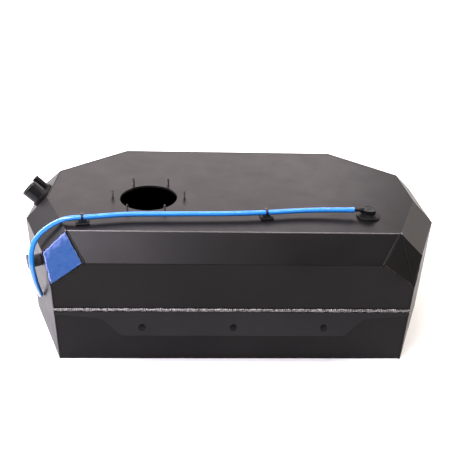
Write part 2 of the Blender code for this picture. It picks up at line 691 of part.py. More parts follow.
def make_hose(hose_plastic, plastic):
    make_tube("breather_hose", smooth_route(HOSE_ROUTE, HOSE_SPACING), HOSE_RADIUS, 4, hose_plastic)
    for number, x in enumerate(TIE_MOUNT_X, start=1):
        make_tie_mount(number, x, plastic)


# ---------------------------------------------------------------- front bracket and film
def bracket_outline():
    """Half the bracket's outline as (x, y) points, y down the plate, then its mirror image."""
    end = (BRACKET_HALF_WIDTH, -BRACKET_END_DEPTH)
    half = [(BRACKET_HALF_WIDTH, 0), end]
    half += rounded_corner(end, BRACKET_SHOULDER, BRACKET_FOOT, BRACKET_SHOULDER_RADIUS)
    half += rounded_corner(BRACKET_SHOULDER, BRACKET_FOOT, (0, BRACKET_FOOT[1]), BRACKET_FOOT_RADIUS)
    return half + [(-x, y) for x, y in reversed(half)]


def make_bracket(coat, weld_metal):
    """The plate that leans out from the front wall, and the weld bead along its upper edge."""
    wall_y = WALL_OUTLINE[0][1]
    place = Matrix.Translation((0, wall_y - GAP, BRACKET_TOP_Z))
    frame = place @ Matrix.Rotation(pi / 2 - BRACKET_LEAN, 4, "X")
    bracket = extruded("front_bracket", bracket_outline(), BRACKET_THICKNESS, coat, frame)
    for number in (-1, 0, 1):
        centre = Matrix.Translation((number * BRACKET_HOLE_PITCH, -BRACKET_HOLE_DROP, 0))
        hole = rod(f"bracket_hole_{number + 2}", BRACKET_HOLE_RADIUS, -BRACKET_THICKNESS,
                   2 * BRACKET_THICKNESS, coat, frame @ centre)
        combine(bracket, hole, "DIFFERENCE")
    make_bead(wall_y, weld_metal)


def make_bead(wall_y, weld_metal):
    """A quarter-round weld bead above the bracket, the width of the front wall."""
    lift = BRACKET_THICKNESS * sin(BRACKET_LEAN) + GAP
    outline = [(-GAP, 0)]
    for step in range(BEAD_STEPS + 1):
        angle = pi / 2 * step / BEAD_STEPS
        outline.append((-GAP - BEAD_DEPTH * cos(angle), BEAD_HEIGHT * sin(angle)))
    length = 2 * BRACKET_HALF_WIDTH
    frame = Matrix.Translation((-length / 2, wall_y, BRACKET_TOP_Z + lift))
    frame = frame @ Matrix.Rotation(pi / 2, 4, "Z") @ Matrix.Rotation(pi / 2, 4, "X")
    extruded("bracket_weld", outline, length, weld_metal, frame)


def make_film(film_plastic):
    """A thin patch of film stuck over the front-left gusset."""
    name = GUSSET_CORNERS[0]
    normal = NORMALS[name]
    loop = [POINTS[point] for point in FACES[name]]
    centre = sum(loop, Vector()) / len(loop)
    frame = frame_on(centre + normal * GAP, normal)
    outline = []
    for point in loop:
        place = frame.inverted() @ point
        flat = Vector((place.x, place.y))
        outline.append(tuple(flat * (1 - FILM_MARGIN / flat.length)))
    extruded("corner_film", outline, FILM_THICKNESS, film_plastic, frame)


# ---------------------------------------------------------------- assembly
def main():
    clear_scene()
    coat = make_material("powder_coat", (0.030, 0.028, 0.030), 0.42)
    pipe_paint = make_material("pipe_gloss_black", (0.012, 0.012, 0.014), 0.25)
    zinc = make_material("stud_steel", (0.10, 0.09, 0.09), 0.40, metallic=0.8)
    weld_metal = make_material("weld_coat", (0.060, 0.056, 0.056), 0.32)
    plastic = make_material("black_plastic", (0.015, 0.015, 0.017), 0.45)
    rubber = make_material("black_rubber", (0.008, 0.008, 0.008), 0.70)
    float_plastic = make_material("float_plastic", (0.80, 0.78, 0.72), 0.40)
    spring_steel = make_material("spring_steel", (0.55, 0.55, 0.55), 0.30, metallic=1.0)
    hose_plastic = make_material("hose_blue", (0.020, 0.170, 0.720), 0.30)
    film_plastic = make_material("film_blue", (0.065, 0.150, 0.520), 0.35)

    panels = make_shell(coat)
    make_baffles(coat)
    make_pump_opening(panels["top_plate"], coat, zinc)
    make_filler(panels["left_panel"], coat, pipe_paint)
    make_outlet(panels["front_left_panel"], coat, rubber)
    make_valve(panels["top_plate"], plastic, rubber, float_plastic, spring_steel)
    make_hose(hose_plastic, plastic)
    make_bracket(coat, weld_metal)
    make_film(film_plastic)


main()
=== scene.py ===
"""Looks for the welded sheet-steel liquid tank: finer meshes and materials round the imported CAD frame."""
import json
from itertools import combinations
from math import ceil, cos, pi, radians, sin, tan

import bmesh
import bpy
from mathutils import Matrix, Vector, noise


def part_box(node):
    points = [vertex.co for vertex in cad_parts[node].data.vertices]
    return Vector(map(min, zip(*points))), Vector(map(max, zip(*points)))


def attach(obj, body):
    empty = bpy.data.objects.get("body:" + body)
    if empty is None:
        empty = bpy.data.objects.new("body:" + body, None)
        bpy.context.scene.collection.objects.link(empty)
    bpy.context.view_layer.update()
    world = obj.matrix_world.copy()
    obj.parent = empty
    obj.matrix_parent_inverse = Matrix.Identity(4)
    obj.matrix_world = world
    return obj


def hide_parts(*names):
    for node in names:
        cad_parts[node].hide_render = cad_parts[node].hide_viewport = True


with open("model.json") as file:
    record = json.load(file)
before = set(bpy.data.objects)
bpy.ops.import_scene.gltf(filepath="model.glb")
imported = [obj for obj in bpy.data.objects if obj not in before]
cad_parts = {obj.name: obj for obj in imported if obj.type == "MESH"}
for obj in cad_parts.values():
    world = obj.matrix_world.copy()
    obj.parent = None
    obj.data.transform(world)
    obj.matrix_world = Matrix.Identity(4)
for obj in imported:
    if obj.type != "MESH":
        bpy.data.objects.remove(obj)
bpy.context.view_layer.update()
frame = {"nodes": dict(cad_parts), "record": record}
NODES = frame["nodes"]
MM = 0.001
UP = Vector((0, 0, 1))
TANK = "tank"               # the CAD body that every piece made here rides on

# ---------------------------------------------------------------- camera
CAMERA_PLACE = (-0.0716, -1.3388, 0.9169)
CAMERA_PITCH = radians(28.49)     # below the horizon
CAMERA_YAW = radians(2.655)       # towards +X
CAMERA_ROLL = radians(1.821)
CAMERA_LENS = 49.0                # mm
CAMERA_SENSOR = 36.0              # mm, across

# ---------------------------------------------------------------- sizes taken from the frame
TOP_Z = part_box("top_plate")[1].z
STUDS = [f"pump_stud_{number}" for number in range(1, 7)]
FOLDED = [f"{side}_panel" for side in ("front", "front_right", "right", "rear_right",
                                       "rear", "rear_left", "left", "front_left")]
FLAT = ["top_plate", "bottom_plate", "front_left_gusset", "front_right_gusset"]
OTHER_SHEETS = ["baffle_1", "baffle_2", "stud_ring", "front_bracket", "filler_flange", "outlet_stub"]
SHELL_CENTRE = (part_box("bottom_plate")[0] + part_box("top_plate")[1]) / 2

# The vent hose's centre line, from the valve's barb to its open end against the front-left wall.
HOSE_ROUTE = [
    (0.2600, -0.1445, 0.3110), (0.1940, -0.1425, 0.3090), (0.1340, -0.1460, 0.3080),
    (0.0710, -0.1550, 0.3080), (-0.0090, -0.1620, 0.3080), (-0.1160, -0.1660, 0.3080),
    (-0.2240, -0.1700, 0.3080), (-0.2930, -0.1815, 0.3080), (-0.3210, -0.1862, 0.3080),
    (-0.3412, -0.1892, 0.3078), (-0.3590, -0.1911, 0.3050), (-0.3776, -0.1920, 0.2966),
    (-0.3965, -0.1930, 0.2842), (-0.4108, -0.1966, 0.2721), (-0.4202, -0.2031, 0.2609),
    (-0.4259, -0.2117, 0.2474), (-0.4278, -0.2195, 0.2331), (-0.4273, -0.2262, 0.2134),
    (-0.4260, -0.2257, 0.1894), (-0.4258, -0.2195, 0.1670), (-0.4268, -0.2080, 0.1450),
    (-0.4289, -0.1940, 0.1246), (-0.4317, -0.1776, 0.1047),
]
HOSE_RADIUS = 5.5 * MM
HOSE_BORE = 4.0 * MM              # inside radius
HOSE_OVERLAP = 4 * MM             # length of hose over the barb, before the route's first point
HOSE_OVERLAP_STEPS = 5
HOSE_FLARE = 13 * MM              # length of hose that the barb stretches
HOSE_STRETCH = 0.8 * MM           # growth in radius at its end
HOSE_SPACING = 4 * MM             # between the rings of its mesh
HOSE_SIDES = 28


# ---------------------------------------------------------------- mesh helpers
SAME_CAD_POINT = 1e-6       # m
SAME_LATHE_POINT = 1e-7     # m
FLAT_WITHIN = radians(0.5)
LATHE_STEPS = 96


def place_piece(mesh, name, material, replaces=(), smooth_angle=30):
    """Link a mesh as a piece that rides on the tank; edges sharper than smooth_angle degrees stay crisp."""
    obj = bpy.data.objects.new(name, mesh)
    bpy.context.scene.collection.objects.link(obj)
    mesh.shade_smooth()
    mesh.set_sharp_from_angle(angle=radians(smooth_angle))
    weighted = obj.modifiers.new("flat faces stay flat", "WEIGHTED_NORMAL")
    weighted.keep_sharp = True
    mesh.materials.clear()
    mesh.materials.append(material)
    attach(obj, TANK)
    if replaces:
        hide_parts(*replaces)
    return obj


def finish_bmesh(bm, name):
    """Turn a bmesh into a mesh with outward faces."""
    bmesh.ops.recalc_face_normals(bm, faces=bm.faces)
    mesh = bpy.data.meshes.new(name)
    bm.to_mesh(mesh)
    bm.free()
    return mesh


def cad_bmesh(node):
    """A CAD node's solid as clean flat faces."""
    bm = bmesh.new()
    bm.from_mesh(NODES[node].data)
    bmesh.ops.remove_doubles(bm, verts=bm.verts, dist=SAME_CAD_POINT)
    bmesh.ops.dissolve_limit(bm, angle_limit=FLAT_WITHIN, verts=bm.verts, edges=bm.edges)
    return bm


def round_edges(bm, turns, width, segments):
    """Bevel the edges whose faces turn by between two angles in degrees; the new faces come back."""
    low, high = (radians(turn) for turn in turns)
    edges = [edge for edge in bm.edges
             if len(edge.link_faces) == 2 and low < edge.calc_face_angle() < high]
    made = bmesh.ops.bevel(bm, geom=edges, offset=width, segments=segments, profile=0.5,
                           affect="EDGES", clamp_overlap=True)
    return made["faces"]


def add_rings(bm, rings, closed=False):
    """Add faces over equal rings of points: a capped tube, or closed with the last joined to the first."""
    loops = [[bm.verts.new(point) for point in ring] for ring in rings]
    count = len(loops[0])
    pairs = list(zip(loops, loops[1:])) + ([(loops[-1], loops[0])] if closed else [])
    for near, far in pairs:
        for index in range(count):
            after = (index + 1) % count
            bm.faces.new((near[index], near[after], far[after], far[index]))
    if not closed:
        bm.faces.new(reversed(loops[0]))
        bm.faces.new(loops[-1])


def ring_surface(rings, closed=False):
    """A new bmesh with faces over a list of rings."""
    bm = bmesh.new()
    add_rings(bm, rings, closed)
    return bm


def turns_of(count):
    """Equally spaced angles once round a circle."""
    return [2 * pi * step / count for step in range(count)]


def round_point(radius, angle, z=0.0):
    """The point at an angle on a circle about Z."""
    return Vector((radius * cos(angle), radius * sin(angle), z))


def path_frames(path):
    """A twist-free frame at every point of a path: matrices with Z along it."""
    points = [Vector(point) for point in path]
    side = UP
    frames = []
    for index, point in enumerate(points):
        before = points[max(index - 1, 0)]
        after = points[min(index + 1, len(points) - 1)]
        along = (after - before).normalized()
        side = (side - along * side.dot(along)).normalized()
        matrix = Matrix((side, along.cross(side), along)).transposed().to_4x4()
        matrix.translation = point
        frames.append(matrix)
    return frames


def smooth_route(route, spacing):
    """Points at about the spacing on a smooth curve through the route's own points."""
    points = [Vector(point) for point in route]
    padded = [2 * points[0] - points[1]] + points + [2 * points[-1] - points[-2]]
    smooth = []
    for a, b, c, d in zip(padded, padded[1:], padded[2:], padded[3:]):
        steps = max(1, round((c - b).length / spacing))
        for step in range(steps):
            t = step / steps
            smooth.append(0.5 * ((2 * b) + (c - a) * t + (2 * a - 5 * b + 4 * c - d) * t ** 2
                                 + (3 * b - a - 3 * c + d) * t ** 3))
    return smooth + [points[-1]]


def lathe(profile, matrix, steps=LATHE_STEPS):
    """Turn a closed profile of (radius, z) points in mm round the matrix's Z."""
    rings = [[matrix @ round_point(radius * MM, angle, z * MM) for radius, z in profile]
             for angle in turns_of(steps)]
    bm = ring_surface(rings, closed=True)
    bmesh.ops.remove_doubles(bm, verts=bm.verts, dist=SAME_LATHE_POINT)
    return bm


# ---------------------------------------------------------------- material helpers
NOISE_SPAN = (0.3, 0.7)


class Surface:
    """A Principled material built up from a few procedural layers."""

    def __init__(self, name, colour, roughness, **sockets):
        self.material = bpy.data.materials.new(name)
        self.material.use_nodes = True
        self.tree = self.material.node_tree
        self.shader = self.tree.nodes["Principled BSDF"]
        self.shader.inputs["Base Color"].default_value = (*colour, 1)
        self.shader.inputs["Roughness"].default_value = roughness
        for socket, value in sockets.items():
            self.shader.inputs[socket.replace("_", " ")].default_value = value
        self.coordinates = self.tree.nodes.new("ShaderNodeTexCoord").outputs["Object"]
        self.height = None

    def noise(self, size, detail=3.0, roughness=0.5, stretch=(1, 1, 1)):
        """Noise whose features are about the given size in metres."""
        mapping = self.tree.nodes.new("ShaderNodeMapping")
        mapping.inputs["Scale"].default_value = stretch
        self.tree.links.new(self.coordinates, mapping.inputs["Vector"])
        texture = self.tree.nodes.new("ShaderNodeTexNoise")
        texture.inputs["Scale"].default_value = 1 / size
        texture.inputs["Detail"].default_value = detail
        texture.inputs["Roughness"].default_value = roughness
        self.tree.links.new(mapping.outputs["Vector"], texture.inputs["Vector"])
        return texture.outputs["Fac"]

    def ramp(self, factor, low, high, low_colour, high_colour):
        """A colour that runs between two as the factor runs from low to high."""
        ramp = self.tree.nodes.new("ShaderNodeValToRGB")
        ramp.color_ramp.elements[0].position = low
        ramp.color_ramp.elements[0].color = (*low_colour, 1)
        ramp.color_ramp.elements[1].position = high
        ramp.color_ramp.elements[1].color = (*high_colour, 1)
        self.tree.links.new(factor, ramp.inputs["Fac"])
        return ramp.outputs["Color"]

    def vary_colour(self, factor, low_colour, high_colour, low=0.35, high=0.65):
        """Let the base colour follow a factor."""
        self.tree.links.new(self.ramp(factor, low, high, low_colour, high_colour),
                            self.shader.inputs["Base Color"])

    def vary_roughness(self, factor, low_value, high_value):
        """Let the roughness follow a noise, most of which lies in NOISE_SPAN."""
        span = self.tree.nodes.new("ShaderNodeMapRange")
        span.inputs["From Min"].default_value = NOISE_SPAN[0]
        span.inputs["From Max"].default_value = NOISE_SPAN[1]
        span.inputs["To Min"].default_value = low_value
        span.inputs["To Max"].default_value = high_value
        self.tree.links.new(factor, span.inputs["Value"])
        self.tree.links.new(span.outputs["Result"], self.shader.inputs["Roughness"])

    def bump(self, factor, depth):
        """Add relief of about a depth in metres; later layers go on top of earlier ones."""
        node = self.tree.nodes.new("ShaderNodeBump")
        node.inputs["Distance"].default_value = depth
        self.tree.links.new(factor, node.inputs["Height"])
        if self.height is not None:
            self.tree.links.new(self.height, node.inputs["Normal"])
        self.height = node.outputs["Normal"]
        self.tree.links.new(self.height, self.shader.inputs["Normal"])


def powder_coat():
    """Satin black powder coat: orange peel, faint sheet waviness and handling smudges."""
    surface = Surface("powder_coat", (0.0040, 0.0033, 0.0034), 0.36, Specular_IOR_Level=0.12)
    surface.vary_colour(surface.noise(0.16, 4), (0.0032, 0.0026, 0.0027), (0.0050, 0.0042, 0.0043))
    surface.vary_roughness(surface.noise(0.045, 6, 0.6), 0.34, 0.40)
    surface.bump(surface.noise(0.22, 1), 0.3 * MM)
    surface.bump(surface.noise(0.0016, 2), 0.02 * MM)
    return surface.material


def bracket_coat_lit():
    """The tank's coat with a little more gloss, made lighter for the bracket: the lighter colour is painted
    light for the sheen its outward-tilted face catches.
    """
    # lighter than the tank's coat: painted light
    surface = Surface("bracket_coat_lit", (0.0075, 0.0070, 0.0076), 0.34, Specular_IOR_Level=0.20)
    surface.vary_colour(surface.noise(0.12, 4), (0.0060, 0.0056, 0.0061), (0.0092, 0.0087, 0.0094))
    surface.vary_roughness(surface.noise(0.035, 6, 0.6), 0.31, 0.39)
    surface.bump(surface.noise(0.0016, 2), 0.02 * MM)
    return surface.material


def weld_coat():
    """The same coat lying over weld metal, a little glossier on the crests; its colour is lightened and
    flecked with pale spots as painted glints on the ripples.
    """
    surface = Surface("weld_coat", (0.040, 0.036, 0.038), 0.22, Specular_IOR_Level=0.9)
    # the pale flecks and the lighter tone are painted glints
    surface.vary_colour(surface.noise(0.0045, 3), (0.016, 0.014, 0.014), (0.150, 0.135, 0.135), 0.42, 0.62)
    surface.vary_roughness(surface.noise(0.004, 4), 0.12, 0.34)
    surface.bump(surface.noise(0.0022, 4), 0.35 * MM)
    return surface.material


def edge_gloss_painted_highlight():
    """Glossy coat on a dressed seam or a cut edge, its colour lightened as a painted highlight along the
    edge.
    """
    # the lighter base colour is a painted highlight
    surface = Surface("edge_gloss_painted_highlight", (0.050, 0.045, 0.047), 0.20, Specular_IOR_Level=0.9)
    surface.vary_colour(surface.noise(0.05, 3), (0.040, 0.036, 0.038), (0.065, 0.059, 0.061))
    surface.vary_roughness(surface.noise(0.02, 4), 0.16, 0.26)
    return surface.material


def pipe_gloss_black():
    """Gloss black paint on the two pipes."""
    surface = Surface("pipe_gloss_black", (0.004, 0.004, 0.0045), 0.16, Specular_IOR_Level=0.22)
    surface.vary_roughness(surface.noise(0.02, 5, 0.6), 0.12, 0.24)
    surface.bump(surface.noise(0.006, 3), 0.05 * MM)
    return surface.material


def stud_steel():
    """Darkened steel of the studs, uneven from handling."""
    surface = Surface("stud_steel", (0.022, 0.020, 0.019), 0.35, Metallic=0.9)
    surface.vary_colour(surface.noise(0.004, 5), (0.012, 0.011, 0.010), (0.040, 0.036, 0.034))
    surface.vary_roughness(surface.noise(0.003, 4), 0.28, 0.5)
    return surface.material


def black_plastic():
    """Moulded black plastic with a fine grain."""
    surface = Surface("black_plastic", (0.004, 0.004, 0.0045), 0.36, Specular_IOR_Level=0.16)
    surface.vary_colour(surface.noise(0.02, 4), (0.0030, 0.0030, 0.0034), (0.0052, 0.0052, 0.0058))
    surface.vary_roughness(surface.noise(0.008, 5), 0.34, 0.5)
    surface.bump(surface.noise(0.0007, 2), 0.03 * MM)
    return surface.material


def tie_plastic():
    """Nylon cable ties, smoother than the moulded parts and a little lighter as a painted highlight."""
    # the lighter base colour is a painted highlight
    surface = Surface("tie_plastic", (0.006, 0.006, 0.007), 0.30, Specular_IOR_Level=0.25)
    surface.vary_colour(surface.noise(0.006, 3), (0.005, 0.005, 0.006), (0.009, 0.009, 0.010))
    surface.vary_roughness(surface.noise(0.003, 4), 0.24, 0.38)
    return surface.material


def black_rubber():
    """Matt black rubber with a dusty bloom."""
    surface = Surface("black_rubber", (0.008, 0.008, 0.008), 0.68)
    surface.vary_colour(surface.noise(0.012, 5), (0.006, 0.006, 0.006), (0.016, 0.016, 0.0155))
    surface.vary_roughness(surface.noise(0.006, 5), 0.58, 0.78)
    surface.bump(surface.noise(0.0012, 4), 0.06 * MM)
    return surface.material


def float_plastic():
    """Natural off-white plastic of the valve's float."""
    surface = Surface("float_plastic", (0.78, 0.76, 0.70), 0.4, Subsurface_Weight=0.15)
    surface.vary_colour(surface.noise(0.01, 4), (0.72, 0.70, 0.63), (0.83, 0.81, 0.76))
    surface.vary_roughness(surface.noise(0.004, 4), 0.32, 0.5)
    return surface.material


def spring_steel():
    """Bright drawn wire."""
    surface = Surface("spring_steel", (0.55, 0.55, 0.55), 0.28, Metallic=1.0)
    surface.vary_roughness(surface.noise(0.002, 4), 0.2, 0.4)
    return surface.material


def hose_blue():
    """Glossy, slightly translucent blue hose, faintly uneven."""
    surface = Surface("hose_blue", (0.006, 0.175, 0.57), 0.22, Subsurface_Weight=0.15,
                      Subsurface_Scale=0.003, Coat_Weight=0.9, Coat_Roughness=0.14)
    surface.shader.inputs["Subsurface Radius"].default_value = (0.2, 0.5, 1.0)
    surface.vary_colour(surface.noise(0.03, 3), (0.005, 0.165, 0.54), (0.007, 0.185, 0.60))
    surface.vary_roughness(surface.noise(0.006, 5), 0.20, 0.26)
    surface.bump(surface.noise(0.012, 2), 0.03 * MM)
    return surface.material


def film_blue():
    """Thin blue masking film over the black gusset, with a painted highlight along its upper and left rims
    and a painted sheen over its upper-left part.
    """
    surface = Surface("film_blue", (0.030, 0.075, 0.30), 0.34, Specular_IOR_Level=0.35)
    attribute = surface.tree.nodes.new("ShaderNodeAttribute")
    # the edge attribute holds the painted highlight and sheen, which lighten the film towards lavender
    attribute.attribute_name = "edge"
    surface.vary_colour(attribute.outputs["Fac"], (0.014, 0.050, 0.165), (0.24, 0.29, 0.66), 0.1, 0.9)
    surface.vary_roughness(surface.noise(0.012, 5), 0.26, 0.44)
    surface.bump(surface.noise(0.014, 3), 1.6 * MM)
    surface.bump(surface.noise(0.005, 4, stretch=(1, 1, 2.5)), 0.35 * MM)
    return surface.material


COAT = powder_coat()
BRACKET_COAT_LIT = bracket_coat_lit()
EDGE_PAINTED_HIGHLIGHT = edge_gloss_painted_highlight()
WELD_PAINTED_GLINTS = weld_coat()
PIPE = pipe_gloss_black()
STEEL = stud_steel()
PLASTIC = black_plastic()
RUBBER = black_rubber()
FLOAT = float_plastic()
SPRING = spring_steel()
HOSE = hose_blue()
FILM = film_blue()
TIE = tie_plastic()
NODE_MATERIALS = {"powder_coat": COAT, "weld_coat": WELD_PAINTED_GLINTS, "pipe_gloss_black": PIPE, "stud_steel": STEEL,
                  "black_plastic": PLASTIC, "black_rubber": RUBBER, "float_plastic": FLOAT,
                  "spring_steel": SPRING, "hose_blue": HOSE, "film_blue": FILM}


def dress_cad_nodes():
    """Every CAD node that stays gets the finish of its record slot."""
    for row in frame["record"]["subparts"]:
        mesh = NODES[row["node"]].data
        mesh.materials.clear()
        mesh.materials.append(NODE_MATERIALS[row["material_slot"]])


# ---------------------------------------------------------------- sheet metal
FOLD_OUTER = 3.0 * MM       # radius of the folds between bevels and walls
FOLD_WIDTH = FOLD_OUTER * tan(radians(45 / 2))
FOLD_TURNS = (40, 50)       # degrees that a fold turns by
CUT_TURNS = (60, 130)       # and that a cut edge does
FLAT_TURNS = (50, 130)      # the same on sheets with no folds
CUT_EDGE = 0.5 * MM         # rounding of every cut edge under the coat
THICK_EDGE = 0.8 * MM       # the same on the thicker plates
THICK = ("front_bracket", "filler_flange")
SHEET = 2.0 * MM            # thickness of the sheets
SAME_CORNER = 1.2 * MM      # sheets' corners closer than this are one corner of the box


def make_sheet_panels():
    """The box's sheets with their bends and cut edges rounded."""
    for node in FOLDED:
        bm = cad_bmesh(node)
        round_edges(bm, FOLD_TURNS, FOLD_WIDTH, segments=4)
        round_edges(bm, CUT_TURNS, CUT_EDGE, segments=2)
        place_piece(finish_bmesh(bm, node), f"{node}_sheet", COAT, replaces=[node])
    for node in FLAT + OTHER_SHEETS:
        make_flat_sheet(node)


def make_flat_sheet(node):
    """A sheet with no folds; the thicker plates' cut edges have the glossier coat, lightened as a painted
    highlight.
    """
    bm = cad_bmesh(node)
    thick = node in THICK
    for face in round_edges(bm, FLAT_TURNS, THICK_EDGE if thick else CUT_EDGE, segments=3):
        face.material_index = int(thick)
    # the bracket's coat is the tank's coat lightened as painted light
    coat = BRACKET_COAT_LIT if node == "front_bracket" else COAT
    piece = place_piece(finish_bmesh(bm, node), f"{node}_sheet", coat, replaces=[node])
    # the thick plates' cut edges get the edge coat with its painted highlight
    if thick:
        piece.data.materials.append(EDGE_PAINTED_HIGHLIGHT)


def sheet_corners():
    """Every corner of the box's sheets, each with the names of the sheets that share it."""
    corners = []
    for node in FOLDED + FLAT:
        bm = cad_bmesh(node)
        for vert in bm.verts:
            match = next((item for item in corners if (item[0] - vert.co).length < SAME_CORNER), None)
            if match:
                match[1].add(node)
            else:
                corners.append((vert.co.copy(), {node}))
        bm.free()
    return corners


def is_inner(place, corners):
    """Whether another corner lies just outside this one, across the sheet."""
    depth = (place - SHELL_CENTRE).length
    return any((other - place).length < 2 * SHEET and (other - SHELL_CENTRE).length > depth + SHEET / 4
               for other, _ in corners)


def shell_seams():
    """Lines where two sheets meet, as (names of both, outer corner points in order)."""
    corners = sheet_corners()
    outer = [(place, nodes) for place, nodes in corners if len(nodes) >= 2 and not is_inner(place, corners)]
    seams = []
    for pair in combinations(FOLDED + FLAT, 2):
        shared = [place for place, nodes in outer if set(pair) <= nodes]
        if len(shared) >= 2:
            shared.sort(key=lambda place: (round(place.z, 3), place.x, place.y))
            seams.append((pair, shared))
    return seams


# ---------------------------------------------------------------- welds
BEAD_SIDES = 14
BEAD_RINGS_PER_RIPPLE = 5
SEAM_PITCH = 5 * MM         # ripple spacing of the seams
SEAM_TOP = 1.5 * MM         # bead radius along the top and bottom plates' edges
SEAM_UPRIGHT = 2.6 * MM     # and along the other seams
SEAM_RIPPLE = 0.05          # share by which a dressed bead's radius varies
GUSSET_RIPPLE = 0.35        # and one left as welded, round the gussets
RIPPLE_SHARE = 0.6          # of the ripples in that, against slow unevenness
SEAM_WAVE = 3 * SEAM_PITCH  # length of the slow unevenness
SEAM_SINK = 0.9             # depth of a bead's centre, in bead radii
SEAM_SINK_BASE = 1.45       # the same along the bottom, so that the tank still sits flat
SEAM_SINK_PROUD = 0.45      # and along the top plate's front edge, where the seam stands up
SEAM_BLOB = 2.3 * MM        # radius of the weld blobs at that seam's ends


def ripple_at(step):
    """Height of a weld's ripples at a ring's number, 0 to 1."""
    return abs(sin(pi * step / BEAD_RINGS_PER_RIPPLE))


def bead_rings(start, end, inward, radius, ripple):
    """Rings of a weld bead from start to end, its size rising and falling along it."""
    along = (end - start).normalized()
    side = (inward - along * inward.dot(along)).normalized()
    across = along.cross(side)
    count = max(2, ceil((end - start).length / (SEAM_PITCH / BEAD_RINGS_PER_RIPPLE)))
    rings = []
    for step in range(count + 1):
        place = start + (end - start) * step / count
        wobble = noise.noise(place / SEAM_WAVE) + RIPPLE_SHARE * ripple_at(step)
        size = radius * (1 + ripple * wobble)
        rings.append([place + (side * cos(angle) + across * sin(angle)) * size
                      for angle in turns_of(BEAD_SIDES)])
    return rings


def seam_bmesh(points, radius, sink, ripple):
    """A seam's bead along its points, sunk towards the box's middle and cut off at the ground."""
    bm = bmesh.new()
    for start, end in zip(points, points[1:]):
        along = (end - start).normalized()
        inward = SHELL_CENTRE - (start + end) / 2
        inward = (inward - along * inward.dot(along)).normalized()
        sunk = inward * radius * sink
        add_rings(bm, bead_rings(start + sunk, end + sunk, inward, radius, ripple))
    for vert in bm.verts:
        vert.co.z = max(vert.co.z, 0.0)
    return bm


def make_seams():
    """Dressed weld seams along every line where two sheets meet."""
    for names, points in shell_seams():
        proud = set(names) == {"top_plate", "front_panel"}
        flush = "top_plate" in names or "bottom_plate" in names
        sink = SEAM_SINK_BASE if "bottom_plate" in names else SEAM_SINK_PROUD if proud else SEAM_SINK
        ripple = GUSSET_RIPPLE if "gusset" in names[1] else SEAM_RIPPLE
        bm = seam_bmesh(points, SEAM_TOP if flush else SEAM_UPRIGHT, sink, ripple)
        if proud:
            for end in (points[0], points[-1]):
                blob = bmesh.ops.create_icosphere(bm, subdivisions=3, radius=SEAM_BLOB)["verts"]
                bmesh.ops.translate(bm, verts=blob, vec=end)
        # the top plate's front seam and its end blobs get the edge coat: a painted highlight line with
        # painted highlight dots at its ends
        place_piece(finish_bmesh(bm, "seam"), f"seam_{names[0]}_{names[1]}",
                    EDGE_PAINTED_HIGHLIGHT if proud else COAT, smooth_angle=60)


WELD_PITCH = 4.2 * MM       # ripple spacing of the bracket's weld
WELD_DEPTH = 0.75           # bead's reach from its middle, as a share of the CAD bead's depth
WELD_MIDDLE = 0.25          # middle of the bead, as a share of that depth from the wall
WELD_SIZE = 0.86            # mean size of the bead, of its full size
WELD_RIPPLE = 0.26          # added by the ripples
WELD_RIPPLE_MEAN = 0.6      # their mean strength, about which they vary
WELD_UNEVEN = 0.16          # added by slow unevenness
WELD_UNEVEN_WAVE = 2.2 * WELD_PITCH
WELD_TILT = 0.9 * MM        # by which the ripples lean along the bead
WELD_WANDER = 0.36 * MM     # by which the bead wanders up and down
WELD_WANDER_WAVE = 4 * WELD_PITCH


def make_bracket_weld():
    """The coarse weld bead along the bracket's upper edge, its ripples of uneven size."""
    low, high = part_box("bracket_weld")
    depth, height = high.y - low.y, high.z - low.z
    middle = Vector((0, high.y - depth * WELD_MIDDLE, (low.z + high.z) / 2))
    count = ceil((high.x - low.x) / (WELD_PITCH / BEAD_RINGS_PER_RIPPLE))
    rings = []
    for step in range(count + 1):
        x = low.x + (high.x - low.x) * step / count
        uneven = noise.noise(Vector((x / WELD_UNEVEN_WAVE, 0.3, 0.7)))
        rippled = WELD_RIPPLE * ripple_at(step) * (WELD_RIPPLE_MEAN + uneven)
        size = WELD_SIZE + rippled + WELD_UNEVEN * uneven
        wander = WELD_WANDER * noise.noise(Vector((x / WELD_WANDER_WAVE, 5.0, 0)))
        rings.append([middle + Vector((x + WELD_TILT * cos(angle), -WELD_DEPTH * depth * size * cos(angle),
                                       height / 2 * size * sin(angle) + wander))
                      for angle in turns_of(BEAD_SIDES)])
    place_piece(finish_bmesh(ring_surface(rings), "bracket_bead"), "bracket_bead", WELD_PAINTED_GLINTS,
                replaces=["bracket_weld"], smooth_angle=70)


# ---------------------------------------------------------------- pump studs
STUD_PITCH = 0.8 * MM
STUD_CHAMFER = 1.0 * MM     # height of the chamfered tip
STUD_CHAMFER_SLOPE = 0.7
THREAD_DEPTH = 0.42 * MM
THREAD_SIDES = 20
THREAD_ROWS_PER_TURN = 8


def stud_radius(radius, step, turn, from_tip):
    """The stud's radius at a row of its thread, a share of a turn and a distance from its tip."""
    phase = (step / THREAD_ROWS_PER_TURN - turn) % 1.0
    chamfered = radius - max(0.0, STUD_CHAMFER - from_tip) * STUD_CHAMFER_SLOPE
    return min(radius - THREAD_DEPTH * abs(2 * phase - 1), chamfered)


def make_stud(node):
    """A threaded stud with a chamfered tip."""
    low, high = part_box(node)
    centre = (low + high) / 2
    radius = (high.x - low.x) / 2
    count = round((high.z - low.z) / STUD_PITCH * THREAD_ROWS_PER_TURN)
    rings = []
    for step in range(count + 1):
        z = low.z + (high.z - low.z) * step / count
        sizes = [stud_radius(radius, step, side / THREAD_SIDES, high.z - z) for side in range(THREAD_SIDES)]
        rings.append([Vector((centre.x, centre.y, z)) + round_point(size, angle)
                      for size, angle in zip(sizes, turns_of(THREAD_SIDES))])
    place_piece(finish_bmesh(ring_surface(rings), node), f"{node}_thread", STEEL,
                replaces=[node], smooth_angle=70)


